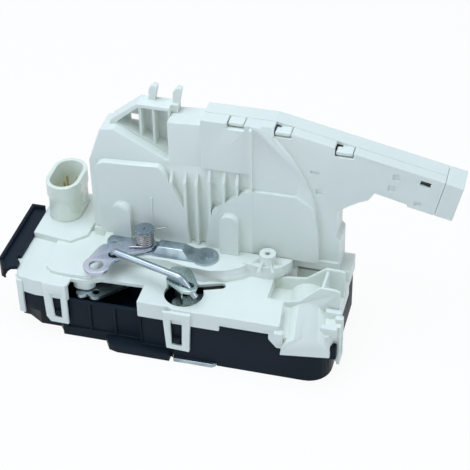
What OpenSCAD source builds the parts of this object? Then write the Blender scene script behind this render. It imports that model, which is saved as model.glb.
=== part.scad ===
/* [Base] */
// Left end of the base along X
base_left = -62; // [-66:0.5:-60]
// Right end of the base along X
base_right = 124; // [122:0.5:130]
// Back edge of the deep left part of the base
base_back = 46; // [44:0.5:54]
// Back edge of the right part of the base
base_back_right = 30; // [29:0.5:40]
// X where the back edge steps
back_step_x = 66; // [64:0.5:80]
// Front wall at the left
front_left_y = -36; // [-39:0.5:-35.5]
// Front wall in the middle
front_mid_y = -39.5; // [-41:0.5:-38]
// Front wall at the right
front_right_y = -41; // [-44:0.5:-40]
// Radius of the front right corner
corner_r = 14; // [8:0.5:16]
// Top of the deck
deck_z = 37.5; // [36.5:0.5:40]
// Height of the joint line between housing and cover
rim_z = 27; // [26:0.5:29]
// Rise of the joint line along the right half of the front
rim_rise = 3.5; // [1:0.5:5]
// Drop of the joint line around the motor
rim_drop = 5.5; // [2:0.5:5.5]
// Wall of the housing
wall = 2.2; // [1.8:0.1:2.8]
// Wall of the white mouldings
skin = 2; // [1.6:0.1:2.4]
// Set-back of the housing under the cover's edge
set_back = 0.8; // [0.4:0.1:1.2]
// Underside of the web above the latch
web_z = 13; // [12.6:0.1:14]
// Thickness of that web
web_t = 2; // [1.6:0.1:2.6]

/* [Face plate and striker mouth] */
// Thickness of the face plate
plate_t = 2.5; // [2:0.1:3]
// Left edge of the face plate
plate_left = -50; // [-54:0.5:-47]
// Right edge of the face plate
plate_right = 60; // [57:0.5:61]
// Back edge of the face plate
plate_back = 43; // [40:0.5:43.5]
// Half width of the striker mouth
mouth_half = 8; // [7:0.25:9]
// Bottom of the mouth along Y
mouth_end = 4; // [3:0.5:6]
// Height of the striker tunnel
tunnel_top = 24; // [20:0.5:25]
// Radius of the tapped holes of the three mounting screws
tap_r = 2.5; // [2:0.05:2.6]
// Radius of the collars around them
collar_r = 5.5; // [4.5:0.1:5.6]
// Top of those collars
collar_z = 9; // [6:0.5:10]

/* [Claw and pawl] */
// Thickness of claw and pawl
lock_t = 5; // [4:0.1:5.2]
// Running gap over the face plate
lock_gap = 0.5; // [0.3:0.1:0.8]
// Thickness of the claw's plastic jacket over and under it
jacket_t = 0.4; // [0.3:0.05:0.45]
// Radius of the claw pin
claw_pin_r = 4; // [3.5:0.1:4.4]
// Radius of the pawl pin
pawl_pin_r = 3; // [2.5:0.1:3.4]
// Radial running clearance of every hinge
run_fit = 0.05; // [0.02:0.01:0.1]
// Radius of the claw's hub
claw_hub_r = 16.5; // [16:0.1:17]
// Radius of the claw's catch teeth
claw_tooth_r = 22; // [21.5:0.1:22.2]
// Angle that the claw closes by
claw_close = 60; // [58:0.5:61]
// Half width of the claw's slot
slot_half = 5.2; // [4.8:0.1:5.6]

/* [Outer lever, bracket and rod] */
// Radius of the lever pin
pin_r = 3; // [2.5:0.1:3.2]
// Radius of its head
pin_head_r = 5.5; // [5:0.1:6]
// Top of its head
pin_top = 59.2; // [58:0.1:61]
// Thickness of the head
pin_head_t = 1.9; // [1.5:0.1:2.4]
// Top of the seat under the bracket
seat_z = 45; // [44:0.5:45.5]
// Thickness of the bracket
bracket_t = 1.5; // [1.2:0.1:1.8]
// Thickness of the outer lever
lever_t = 2; // [1.6:0.1:2.2]
// Gap between stacked sheet metal pieces
sheet_gap = 0.3; // [0.2:0.05:0.4]
// Radius of the lobe
lobe_r = 7.6; // [7:0.1:8.2]
// Radius of the cable hole in the lobe
cable_hole_r = 3.9; // [3:0.1:4.2]
// Radius of the link rod
rod_r = 2; // [1.6:0.05:2.1]
// Wire radius of the lever spring
spring_wire_r = 0.55; // [0.45:0.05:0.6]

/* [Wing] */
// Front of the raised pads
pad_y = 7; // [6:0.25:7.5]
// Front of the wing's main face
face_y = 11; // [10.5:0.25:11.5]
// Joint between the wing's two shells
split_y = 18; // [17:0.25:19]
// Back of the wing
wing_back_y = 28; // [27:0.5:29]
// Top of the wing where the arm starts
wing_top = 128.4; // [126:0.2:131]
// Right side of the wing's column
column_x = 118; // [116:0.5:119]
// Length of the arm from the column to its end
arm_len = 66; // [60:0.5:72]
// Slope of the arm downwards
arm_slope = 12.3; // [11:0.1:13.5]
// Height of the arm, square to its length
arm_h = 22.5; // [20:0.5:24]
// Thickness of the ribs on the face
rib_t = 1.6; // [1.2:0.1:2]

/* [Connector] */
// Width of the socket
socket_w = 19; // [17:0.5:20]
// Length of the socket
socket_l = 30; // [26:0.5:31]
// Top of the socket
socket_top = 66; // [60:0.5:70]
// Wall of the socket
socket_wall = 1.7; // [1.4:0.1:2]

/* [Lock drive] */
// Radius of the lock motor
motor_r = 11.4; // [10.8:0.1:11.6]
// Length of the lock motor
motor_l = 22.5; // [20:0.5:22.5]
// Height of the motor's axis
motor_z = 21; // [20.5:0.25:21.5]
// Turn of the motor's axis in plan
motor_yaw = 8; // [5:0.5:9]
// Radius of the motor's shaft
shaft_r = 1; // [0.8:0.05:1.2]
// Tooth module of the worm wheel
wheel_module = 1; // [1:0.01:1.04]
// Teeth on the worm wheel
wheel_teeth = 30; // [28:1:30]
// Thickness of the worm wheel
wheel_t = 4; // [3:0.1:5]
// Teeth on the pinion under the wheel
pinion_teeth = 12; // [12:1:13]
// Radius of the wheel's axle
axle_r = 2; // [1.6:0.05:2.2]

/* [Hidden] */
$fn = 48;
eps = 0.01;
// Share of their end radius that the straight sides of bars have
bar_waist = 0.998;

// Places in plan of the mounting screws, the levers and the socket
screw_left = [-38, 17];
screw_right = [46, 10];
screw_front = [-8, -27];
pin_at = [9.7, -2.4];
lobe_at = [-10.8, -27];
rod_from = [-4.5, -16.5];
rod_to = [42.1, -30.6];
socket_at = [-47, 28.5];

rim_high = rim_z + rim_rise;
rim_low = rim_z - rim_drop;
rim_step_x = 62.5;
rim_drop_x = 90;
ceiling_z = deck_z - skin;
web_top = web_z + web_t;
floor_t = wall;
opening_left = -26.2;
opening_right = 15.5;
opening_back = -25.5;

lock_z = plate_t + lock_gap + jacket_t;
lock_top = lock_z + lock_t;
claw_at = [22, 8];
pawl_at = [-22, -10];
slot_r = 22;
striker_y = mouth_end + mouth_half - 2;

bracket_top = seat_z + bracket_t;
lever_z = bracket_top + sheet_gap;
lever_top = lever_z + lever_t;
pin_head_z = pin_top - pin_head_t;
spring_r = pin_r + 1.5;
rod_z = lever_top + rod_r + 0.2;
arm_vec = rod_from - pin_at;
release_at = rod_to - arm_vec;
release_z = 28.5;
release_t = 2;
ear_z = 45.6;
ear_t = 1.8;
release_pin_r = 3;
rod_drop = [8.6, -2.4, -10.5];
rod_fall = (rod_z - ear_z - ear_t / 2) / -rod_drop[2];
rod_knee = [rod_to[0] - rod_fall * rod_drop[0], rod_to[1] - rod_fall * rod_drop[1], rod_z];

motor_at = [109, -30, motor_z];
motor_dir = [-sin(motor_yaw), cos(motor_yaw)];
motor_side = [-cos(motor_yaw), -sin(motor_yaw)];
motor_gap = 0.4;
motor_from = -6;
motor_cap_t = 2;
wheel_r = wheel_module * wheel_teeth / 2;
worm_r = 3;
worm_reach = 31;
wheel_at = [motor_at[0], motor_at[1]] + worm_reach * motor_dir + (wheel_r + worm_r) * motor_side;
pinion_r = wheel_module * pinion_teeth / 2;
tooth_pitch = PI * wheel_module;
hump_r = motor_r + motor_gap + skin - 0.4;
low_floor_z = 30;

function unit(v) = v / norm(v);
function inset(p, d) = let (n = len(p)) [for (i = [0 : n - 1])
    let (u = unit(p[i] - p[(i + n - 1) % n]), v = unit(p[(i + 1) % n] - p[i]),
        a = [-u[1], u[0]], b = [-v[1], v[0]])
    p[i] + d * (a + b) / (1 + a * b)];
function arc(c, r, from, to, steps) = [for (i = [0 : steps])
    let (t = from + (to - from) * i / steps) c + r * [cos(t), sin(t)]];
function xy(p) = [p[0], p[1]];

base_outline = concat(
    [[base_left + 6, front_left_y + 2], [base_left + 16, front_left_y], [opening_right, front_left_y],
     [opening_right, front_mid_y], [33.5, front_mid_y], [36, front_right_y]],
    arc([base_right - corner_r, front_right_y + corner_r], corner_r, -90, 0, 8),
    [[base_right, base_back_right], [back_step_x, base_back_right], [back_step_x, base_back],
     [base_left, base_back], [base_left, front_left_y + 14]]);
housing_outline = inset(base_outline, set_back);
cavity_outline = inset(base_outline, set_back + wall);
cover_inside = inset(base_outline, skin);

plate_outline = [[plate_left, -20], [-47, -25], [-35, -26.6], [-30, -31], [33, -32], [36, front_right_y - 1.5],
    [plate_right - 2, front_right_y - 1.5], [plate_right, front_right_y], [plate_right, 32],
    [plate_right - 8, plate_back], [plate_left + 4, plate_back], [plate_left, plate_back - 4]];

// Ground of the low part of the cover around the motor
low_outline = [[base_right + 10, -60], [base_right + 10, 13], [94.8, 13], [94.8, 8.3], [84.4, -1],
    [84.4, -19], [94, -20], [98.3, -60]];

module slab(p, z0, z1) {
    translate([0, 0, z0])
        linear_extrude(z1 - z0)
            polygon(p);
}

module rod_between(a, b, r) {
    d = b - a;
    translate(a)
        rotate([0, acos(d[2] / norm(d)), atan2(d[1], d[0])])
            cylinder(r = r, h = norm(d), $fn = 24);
}

module post(at, r, z0, z1) {
    translate([at[0], at[1], z0])
        cylinder(r = r, h = z1 - z0);
}

module block(x0, y0, z0, x1, y1, z1) {
    translate([x0, y0, z0])
        cube([x1 - x0, y1 - y0, z1 - z0]);
}

// Draws a shape of the X-Z plane between two values of Y
module upright(y0, y1) {
    translate([0, y1, 0])
        rotate([90, 0, 0])
            linear_extrude(y1 - y0)
                children();
}

module bar2d(a, b, r) {
    u = unit(b - a);
    n = bar_waist * r * [-u[1], u[0]];
    polygon([a + n, a - n, b - n, b + n]);
    translate(a)
        circle(r = r);
    translate(b)
        circle(r = r);
}

module bar(a, b, r, z0, z1) {
    translate([0, 0, z0])
        linear_extrude(z1 - z0)
            bar2d(a, b, r);
}

mounting_screws = [screw_left, screw_right, screw_front];
// Places of the four screws that hold the face plate and cover to the housing
base_screw_at = [[-55, -15], [-55, 7], [72, -34], [118, 22]];
// Posts in the latch pocket that the face plate is screwed to
plate_screw_at = [[-43, -20], [-43, 36], [53, -22]];
screw_r = 1.5;
screw_head_r = 2.8;
screw_head_t = 1.8;
screw_sink = 12;
boss_r = 3.8;
plate_gap = 0.2;

module mouth(z0, z1) {
    middle = mouth_end + mouth_half;
    post([0, middle], mouth_half, z0, z1);
    block(-mouth_half, middle, z0, mouth_half, base_back + 10, z1);
}

module face_plate() {
    color("#b9bec2")
        difference() {
            union() {
                slab(plate_outline, 0, plate_t);
                for (s = mounting_screws)
                    post(s, collar_r, 0, collar_z);
            }
            mouth(-1, plate_t + 1);
            for (s = mounting_screws)
                post(s, tap_r, -1, collar_z + 1);
            post(claw_at, claw_pin_r, -1, plate_t + 1);
            post(pawl_at, pawl_pin_r, -1, plate_t + 1);
            for (s = plate_screw_at) {
                post(s, screw_r + plate_gap, -1, plate_t + 1);
                post(s, screw_head_r + plate_gap, -1, screw_head_t);
            }
        }
}

// The cut-back corner at the housing's lower left
corner_cut = [[base_left - 5, -45], [-31.5, -45], [-31.5, -34], [-35, -29.5], [-47, -29.5], [-56, -24],
    [base_left - 5, -23]];
corner_cut_z = 15;
pocket_right = 61.5;
panel_x = [-29, -14.3, 0.4, 16.2, 30.6];
panel_depth = 1;
rack_y = wheel_at[1] + pinion_r;
slider_z = web_top + 0.3;
slider_t = 3.2;
slider_y0 = rack_y + 1.1;
slider_y1 = slider_y0 + 4.6;
wheel_z = motor_z - wheel_t / 2;
coupling_at = [6, -9];
coupling_z = 28.2;
coupling_t = 2;
coupling_head_z = coupling_z + coupling_t + 0.3;
carrier_z = 20;
carrier_t = 2;
carrier_posts = [[-46, 3], [-54, 34], [-17, 4], [-17, 38]];
clips = [
    [-37.4, [[-40.7, 38], [-39.9, 13.8], [-37.6, 10.2], [-26.8, 10], [-26.6, 38]],
        [[-36.5, 31], [-34.8, 14.2], [-30.6, 13.8], [-30.4, 31]], [-34, -31.2, 15.2]],
    [-43, [[30.9, 36], [32.4, 10], [45.6, 9.4], [46.9, 36]],
        [[35.2, 31], [35.5, 12.8], [41.4, 12.6], [42.1, 31]], [36.6, 40.4, 14]]];

// Volume above the joint line between the housing and the cover
module above_rim(gap) {
    block(-100, -100, rim_z + gap, rim_step_x, 100, 100);
    block(rim_step_x - eps, -100, rim_high + gap, rim_drop_x, -20, 100);
    block(rim_step_x - eps, -20 - eps, rim_z + gap, 200, 100, 100);
    upright(-100, 13)
        polygon([[rim_drop_x - eps, rim_z + gap], [rim_drop_x + 4.4, rim_low + gap], [200, rim_low + gap],
            [200, 100], [rim_drop_x - eps, 100]]);
}

module motor_frame() {
    translate(motor_at)
        rotate([0, 0, motor_yaw])
            rotate([-90, 0, 0])
                children();
}

module housing_shell() {
    difference() {
        union() {
            slab(housing_outline, 0, rim_high);
            slab([[-6, -35], [-2, -41.6], [3, -43], [33.5, -43], [33.5, -35]], 0, 4.5);
            block(base_right - 5, -33.4, 13, base_right + 2, -29.8, rim_low);
            block(base_right - 5, -25.6, 13, base_right + 2, -23.4, 17);
        }
        slab(cavity_outline, web_top, rim_high + 1);
        intersection() {
            slab(cavity_outline, plate_t, web_z);
            block(-100, -100, 0, pocket_right, 100, 50);
        }
        intersection() {
            slab(cavity_outline, floor_t, rim_high + 1);
            block(pocket_right + wall, -100, 0, 200, 100, 50);
        }
        for (i = [0 : 3])
            block(panel_x[i] + 0.7, -50, 6.5, panel_x[i + 1] - 0.7,
                (i < 3 ? front_left_y : front_mid_y) + set_back + panel_depth, 25.5);
    }
}

module housing() {
    color("#22272f")
        difference() {
            union() {
                housing_shell();
                intersection() {
                    slab(housing_outline, 0, corner_cut_z + wall);
                    slab(inset(corner_cut, -wall), 0, corner_cut_z + wall);
                }
                post([-49, -28], 4, 0, corner_cut_z);
                block(-mouth_half - wall, mouth_end - wall, lock_top + 0.8,
                    mouth_half + wall, base_back - set_back - 1, tunnel_top + wall);
                for (s = plate_screw_at)
                    post(s, boss_r, plate_t, web_z);
                for (s = base_screw_at)
                    post(s, boss_r, 0, rim_high);
                for (s = carrier_posts)
                    post(s, 2.4, web_z, carrier_z);
                post(release_at, 5, web_z, release_z - sheet_gap);
                post(coupling_at, 4.6, web_z, coupling_z - sheet_gap);
                post([wheel_at[0], wheel_at[1]], 4.4, 1, slider_z - 0.2);
                block(68, slider_y0 - 1, 1, 80, slider_y1 + 1, web_top);
                for (s = [motor_from + 2, motor_from + 14])
                    intersection() {
                        motor_frame()
                            translate([-12, 3, s])
                                cube([24, 30, 2.5]);
                        slab(cavity_outline, 1, motor_z);
                    }
                clip_catches();
            }
            slab(corner_cut, -1, corner_cut_z);
            slab(inset(plate_outline, -plate_gap), -1, plate_t);
            mouth(-1, tunnel_top);
            for (s = mounting_screws)
                post(s, collar_r + plate_gap, -1, plate_t + 1);
            motor_frame()
                translate([0, 0, motor_from - 0.2])
                    cylinder(r = motor_r + 0.05, h = motor_l + 6);
            post(claw_at, claw_pin_r, web_z - 1, web_top + 1);
            post(pawl_at, pawl_pin_r, web_z - 1, web_top + 1);
            post(release_at, release_pin_r, web_top + 2, release_z);
            post(coupling_at, release_pin_r, web_top + 2, coupling_z);
            post([wheel_at[0], wheel_at[1]], axle_r, floor_t + 1, slider_z);
            for (s = plate_screw_at)
                post(s, screw_r, plate_t - 1, web_z - 1);
            for (s = base_screw_at) {
                post(s, screw_r + plate_gap, -1, rim_high + 1);
                post(s, screw_head_r + plate_gap, -1, screw_sink);
            }
            above_rim(0);
        }
}

// Catches on the housing that the cover's loops snap over
module clip_catches() {
    for (c = clips)
        block(c[3][0], c[0] + 0.4, c[3][2], c[3][1], c[0] + 5, c[3][2] + 3.4);
}

boss_at = [79.5, 1.5];
boss_top = 51.5;
keyhole_at = [39, -27];
keyhole_r = 11;
raised_blocks = [
    [[[-59.3, 1], [-36, -2], [-28, 6], [-27.5, 43.5], [-59.3, 43.5]], 41.5],
    [[[-44, -19], [-42.6, -24], [-38.5, -27.5], [-30, -28.3], [-14.5, -28.3], [-13.5, -17], [-10, -12],
      [-10, 8], [-22, 12], [-34, 12], [-44, 0]], 39.7],
    [[[-17, 6], [-15.5, -3], [-10, -9], [0, -11.5], [24, -10], [36, -12.8], [50, -13.4], [59, -11],
      [66, -6.5], [69, -2], [69, 12], [-17, 12]], seat_z],
    [[[36, -14.6], [58, -12.6], [67, -7.4], [74, -1], [74, 8], [36, 8]], 41],
    [[[66, -3], [79, -4.4], [85, -3.6], [88.5, -1], [91.5, 3], [92.6, pad_y - 2 * sheet_gap],
      [66, pad_y - 2 * sheet_gap]], seat_z + 0.5],
    [[[-25, 9.5], [column_x, 9.5], [column_x, wing_back_y + 0.5], [-25, wing_back_y + 0.5]], seat_z]];

base_screw_roof = [deck_z - 1, raised_blocks[0][1] - 1, deck_z - 1, deck_z - 1];

module loop(c) {
    upright(c[0], c[0] + 2)
        difference() {
            polygon(c[1]);
            polygon(c[2]);
        }
}

module keyhole(z0, z1) {
    post(keyhole_at, keyhole_r, z0, z1);
    bar(keyhole_at + [7, 7], [57.4, -15.8], 2.4, z0, z1);
}

module front_opening(z0, z1) {
    slab([[opening_left, -60], [opening_right, -60], [opening_right, opening_back],
        [-9, opening_back - 0.6], [-14, opening_back - 3], [-17, opening_back - 4.1],
        [opening_left, opening_back - 4.3]], z0, z1);
}

module hump(r, from, to) {
    motor_frame()
        translate([0, 0, from])
            cylinder(r = r, h = to - from, $fn = 72);
}

// Dome over the worm, behind the motor's hump
dome_r = 12;
dome_lift = 3.5;
module dome(r) {
    motor_frame()
        translate([0, -dome_lift, 12])
            cylinder(r = r, h = 24);
}

module deck_cover() {
    color("#e9f3f7")
        difference() {
            union() {
                difference() {
                    union() {
                        slab(base_outline, rim_low, deck_z);
                        for (b = raised_blocks)
                            slab(b[0], ceiling_z, b[1]);
                    }
                    difference() {
                        slab(cover_inside, rim_low - 1, ceiling_z);
                        slab(inset(low_outline, -skin), low_floor_z - skin, ceiling_z + 1);
                    }
                    for (b = raised_blocks)
                        slab(inset(b[0], skin), ceiling_z - 1, b[1] - skin);
                    slab(low_outline, low_floor_z, deck_z + 1);
                }
                intersection() {
                    hump(hump_r, -14.3, 21.5);
                    union() {
                        block(90, -60, rim_low, base_right, -38, 60);
                        block(90, -40, motor_z + 2.5, base_right, 20, 60);
                    }
                }
                intersection() {
                    dome(dome_r);
                    block(90, -15, low_floor_z - 1, 115, 0, 60);
                }
                post(pin_at, pin_r + 2.4, seat_z - pin_in - 1.5, seat_z - 1);
                for (s = rivet_at)
                    post(s, rivet_r + 1.6, seat_z - rivet_in - 1, seat_z - 1);
                bar([-21.6, opening_back + 0.7], [-18.4, opening_back + 0.7], 4.8, 31, deck_z);
                for (i = [0 : 3])
                    post(base_screw_at[i], boss_r - 0.2, rim_low, base_screw_roof[i]);
                post(boss_at, 4.6, seat_z, boss_top);
                for (a = [200, 250, 300, 350])
                    boss_rib(a);
                wall_across(-16, 93, 33.5, 47);
                wall_across(-1, 84, 37.5, 48.5);
                block(113.6, -15, low_floor_z - 1, 115.2, 0, 47);
                for (c = clips)
                    loop(c);
                block(base_right - 1, -29.5, 8, base_right + 3.4, -26, 33);
                block(base_right - 1, -23, 8, base_right + 3.4, -19.5, 33);
                block(base_right + 1.6, -29.5, 6, base_right + 3.4, -19.5, 10);
                for (y = [-33.5, -20])
                    block(base_right - 7, y, low_floor_z - 2, base_right + 2, y + 3.4, 34.5);
                block(93.5, -43.5, low_floor_z - 3, 98.5, -40, 34.2);
                corner_leg();
            }
            intersection() {
                hump(hump_r - skin + 0.4, -12.4, 20);
                block(80, -60, 0, 140, 30, 60);
            }
            intersection() {
                dome(dome_r - skin);
                block(90, -14.4 + skin, low_floor_z - skin - 1, 115, -1, 60);
            }
            keyhole(20, 60);
            front_opening(20, 60);
            socket_outline(0.2, 20, 60);
            post(boss_at, screw_r, 40, boss_top + 1);
            for (s = base_screw_at)
                post(s, screw_r, rim_z - 1, ceiling_z - 1);
            for (x = [-6, 30, 60, 100])
                post([x, wing_screw_y], screw_r + plate_gap, 30, 60);
            post(pin_at, pin_r, seat_z - pin_in, seat_z + 1);
            for (s = rivet_at)
                post(s, rivet_r, seat_z - rivet_in, seat_z + 1);
            difference() {
                block(-100, -100, 0, 200, 100, rim_z + 10);
                above_rim(0);
                clip_room();
            }
        }
}

// Space of the cover's loops, which reach below the joint line
module clip_room() {
    block(-45, -60, 0, -22, front_left_y, 60);
    block(28, -60, 0, 50, front_right_y - 0.2, 60);
    block(base_right + 0.4, -60, 0, 200, 0, 60);
    corner_leg();
}

// Leg of the cover down the front left corner, outside the housing
module corner_leg() {
    intersection() {
        difference() {
            slab(inset(base_outline, -1.2), 12, ceiling_z);
            slab(inset(base_outline, set_back - sheet_gap), 11, ceiling_z + 1);
        }
        block(-60, -40, 0, -53.4, -30.6, 60);
    }
}

module boss_rib(a) {
    translate([boss_at[0], boss_at[1], seat_z])
        rotate([0, 0, a])
            translate([3.5, 0, 0])
                rotate([90, 0, 0])
                    translate([0, 0, -0.6])
                        linear_extrude(1.2)
                            polygon([[0, 0], [6.5, 0], [0, 4.5]]);
}

// Thin wall across the low part of the cover, rising to the right
module wall_across(y, from, z_left, z_right) {
    upright(y, y + 1.6)
        polygon([[from, low_floor_z - 1], [base_right, low_floor_z - 1], [base_right, z_right - 1],
            [base_right - 4, z_right], [base_right - 11, z_right], [102, z_left + 2], [from + 2, z_left],
            [from, z_left]]);
}

// Screws that hold the wing, with their heads clear of the cover's back wall
wing_screw_y = wing_back_y + 0.5 - skin - screw_head_r - sheet_gap;

module socket_outline(grow, z0, z1) {
    a = socket_w / 2 + grow;
    b = socket_l / 2 - socket_w / 2;
    bar([socket_at[0], socket_at[1] - b], [socket_at[0], socket_at[1] + b], a, z0, z1);
}

arm_from = [80, wing_top];
// Point on the arm: s along its top edge, h below it
function arm_pt(s, h) = arm_from + s * [cos(arm_slope), -sin(arm_slope)]
    - h * [sin(arm_slope), cos(arm_slope)];
arm_end = (column_x - arm_from[0]) / cos(arm_slope) + arm_len;
sleeve_from = arm_end - 10;
wing_z = seat_z;

wing_outline = [[-25, wing_z], [column_x, wing_z], [column_x, 59.5], [column_x - 2, 61.5],
    [column_x - 2, 79.4], [122, 84], [127.5, 87.6], [132.7, 90.1], arm_pt(61.5, arm_h - 1.9),
    arm_pt(79.6, arm_h - 1.4), arm_pt(80, arm_h), arm_pt(sleeve_from, arm_h), arm_pt(sleeve_from, 0),
    arm_from, [40.5, wing_top], [40.5, 124], [21.5, 123], [21.5, 98], [19.5, 98.3], [-9.7, 113.7],
    [-17.5, 112.5], [-25.2, 90.6]];
pad_left = [[-20, wing_z], [33, wing_z], [30.5, 69.3], [22.5, 85.1], [18.8, 92.8], [16, 95.4],
    [-16, 93.5], [-19, 92], [-20.4, 88.5]];
pad_right = [[42, wing_z], [106.8, wing_z], [106.2, 61.6], [104, 81.4], [93.8, 88.1], [70.8, 88],
    [65.1, 86.2], [46.5, 71.2]];
box_face = [[40.5, 97], [68.5, 97], [68.5, wing_top], [40.5, wing_top]];
ridge_face = [[68.5, wing_z], [106.6, wing_z], [105.9, 61.5], [103.9, 81.4], [101.5, 91.3], [96.4, 101.6],
    [90.3, 112.2], [82.2, 121.8], [74, wing_top], [68.5, wing_top]];
rib_x = [23.2, 31, 37.6, 45, 53.2, 60.7];
rib_top = [92.5, 92.5, 92.5, 96.5, 96.5, 96.5];
tabs = [[-11.4, -0.4, 68.9], [51.6, 62.1, 71.2]];
tab_y = 3;
ridge_y = pad_y + 1.8;
notches = [[55, 64.5], [80.5, 90], [113.5, 123.5]];

// Rib on the wing's face with a bevelled top
module face_rib(x, top) {
    translate([x - rib_t / 2, 0, 0])
        rotate([90, 0, 90])
            linear_extrude(rib_t)
                polygon([[pad_y, wing_z], [face_y + 1, wing_z], [face_y + 1, top + 1], [face_y, top],
                    [pad_y, top - 6]]);
}

module tab_shape(t, grow) {
    r = (t[1] - t[0]) / 2 + grow;
    m = (t[0] + t[1]) / 2;
    translate([m, t[2] - r])
        circle(r = r);
    translate([m - r, wing_z - 1])
        square([2 * r, t[2] - r - wing_z + 1]);
}

module arm_cut(s0, s1, h0, h1, y0, y1) {
    upright(y0, y1)
        polygon([arm_pt(s0, h0), arm_pt(s0, h1), arm_pt(s1, h1), arm_pt(s1, h0)]);
}

module wing_front() {
    color("#e4eef2")
        difference() {
            union() {
                upright(face_y, split_y)
                    polygon(wing_outline);
                upright(pad_y, face_y + 1)
                    polygon(pad_left);
                upright(pad_y, face_y + 1)
                    polygon(pad_right);
                upright(ridge_y, face_y + 1)
                    polygon(ridge_face);
                upright(face_y - 1.4, face_y + 1)
                    polygon(box_face);
                block(68, pad_y - 0.2, wing_z, 69.6, face_y, wing_top - 1);
                for (i = [0 : 5])
                    face_rib(rib_x[i], rib_top[i]);
                for (t = tabs)
                    upright(tab_y, face_y)
                        intersection() {
                            tab_shape(t, 0);
                            translate([-50, wing_z])
                                square([200, 100]);
                        }
                block(11, pad_y - 0.7, wing_z, 12, pad_y + 1, 74);
            }
            wing_front_cavity();
            for (t = tabs)
                upright(tab_y + skin, face_y + 1)
                    tab_shape(t, -skin);
            for (n = notches)
                notch_cut(n);
            arm_mouth();
            upright(pad_y + skin, 60)
                inner_bore();
            face_dimples();
            for (x = [-12, 36])
                translate([x, split_y + 1, wing_z + 4.5])
                    rotate([90, 0, 0])
                        cylinder(r = screw_r, h = 6);
        }
}

module wing_front_cavity() {
    difference() {
        union() {
            upright(face_y + skin, split_y + 1)
                polygon(inset(wing_outline, skin));
            upright(pad_y + skin, face_y + skin + 1)
                polygon(inset(pad_left, skin));
            upright(ridge_y + skin, face_y + skin + 1)
                polygon(inset(ridge_face, skin));
        }
        upright(pad_y, inner_y - sheet_gap)
            inner_boss();
        for (x = [-12, 36])
            block(x - 2.5, pad_y, wing_z, x + 2.5, split_y, wing_z + 9);
    }
}

function top_z(x) = x < arm_from[0] ? wing_top : wing_top - (x - arm_from[0]) * tan(arm_slope);

module notch_cut(n) {
    block(n[0], pad_y - 1, top_z(n[1]) - 3.6, n[1], split_y + 1, wing_top + 2);
}

// Tongue of the back shell that hooks into a notch
module notch_tongue(n) {
    block(n[0] + 0.5, face_y + 0.8, top_z(n[1]) - 2.6, n[1] - 0.5, split_y + 1, top_z(n[1]) - 0.5);
    block(n[0] + 0.5, face_y + skin + sheet_gap, top_z(n[1]) - 9, n[1] - 0.5, split_y - 2,
        top_z(n[1]) - 2);
}

// Small windows and dimples in the arm's front face
module face_dimples() {
    for (p = [[103, 103.5, 2.4, 1.2], [105.5, 91.2, 1.6, 1.8], [146.8, 107.6, 1.8, 2], [144.6, 100, 2, 1.8],
              [158.8, 92.4, 2, 1.5]])
        upright(face_y - 1, face_y + 0.9)
            translate([p[0], p[1]])
                scale_box(p[2], p[3]);
    arm_cut(82.4, 88, 3.4, 6.4, 0, 60);
}

module scale_box(a, b) {
    translate([-a, -b])
        square([2 * a, 2 * b]);
}

module wing_back() {
    color("#e1ebef")
        difference() {
            union() {
                upright(split_y, wing_back_y)
                    polygon(wing_outline);
                for (n = notches)
                    notch_tongue(n);
                for (x = [-12, 4, 20, 36, 52, 68, 84, 100])
                    upright(wing_back_y - 1, wing_back_y + 1)
                        translate([x, 72])
                            scale_box(0.7, 22);
                for (z = [54, 90])
                    upright(wing_back_y - 1, wing_back_y + 1)
                        translate([46, z])
                            scale_box(64, 0.7);
            }
            difference() {
                upright(split_y - 1, wing_back_y - skin)
                    polygon(inset(wing_outline, skin));
                upright(split_y, wing_back_y)
                    inner_boss();
                for (x = [-6, 30, 60, 100])
                    block(x - 4, wing_screw_y - 3.4, wing_z, x + 4, wing_back_y, wing_z + 9);
                for (x = [-12, 36])
                    block(x - 2.5, split_y, wing_z, x + 2.5, wing_back_y, wing_z + 9);
            }
            upright(inner_y, wing_back_y - skin / 2)
                inner_bore();
            arm_mouth();
            arm_cut(82.4, 88, 3.4, 6.4, 0, 60);
            for (x = [-6, 30, 60, 100])
                post([x, wing_screw_y], screw_r, wing_z - 1, wing_z + 8);
            for (x = [-12, 36])
                translate([x, wing_back_y + 1, wing_z + 4.5])
                    rotate([90, 0, 0]) {
                        cylinder(r = screw_r + plate_gap, h = 20);
                        cylinder(r = screw_head_r + plate_gap, h = 1 + screw_head_t);
                    }
        }
}

// Opening at the arm's end that the sleeve sits in
module arm_mouth() {
    arm_cut(sleeve_from - skin - 1, sleeve_from + 1, skin - plate_gap, arm_h - skin + plate_gap,
        face_y + skin - plate_gap, wing_back_y - skin + plate_gap);
}

// Pivot of the inner handle's lever inside the wing
inner_at = [-6, 76];
inner_pin_r = 2.5;
inner_y = 15.5;
inner_t = 2;
inner_boss_r = 5;
module inner_boss() {
    translate(inner_at)
        circle(r = inner_boss_r);
}
module inner_bore() {
    translate(inner_at)
        circle(r = inner_pin_r);
}

module arm_sleeve() {
    lap = 6;
    color("#e9f3f7")
        difference() {
            union() {
                arm_cut(sleeve_from + 0.15, arm_end, 0, arm_h, face_y, wing_back_y);
                arm_cut(sleeve_from - lap, sleeve_from + 1, skin + 0.15, arm_h - skin - 0.15,
                    face_y + skin + 0.15, wing_back_y - skin - 0.15);
            }
            arm_cut(sleeve_from - lap - 1, arm_end + 1, 2 * skin, arm_h - 2 * skin,
                face_y + 2 * skin, wing_back_y - 2 * skin);
        }
}

module cable_guide() {
    back = wing_back_y - 1;
    color("#edf5f5")
        difference() {
            union() {
                for (x = [3.4, 11])
                    block(x, 18, 108 - x * 0.5, x + 1.4, back - 1, 127);
                guide_shell(back);
            }
            for (z = [101.5, 111.5])
                block(-4, 16, z, 1.6, back + 1, z + 4.6);
        }
}

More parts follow.
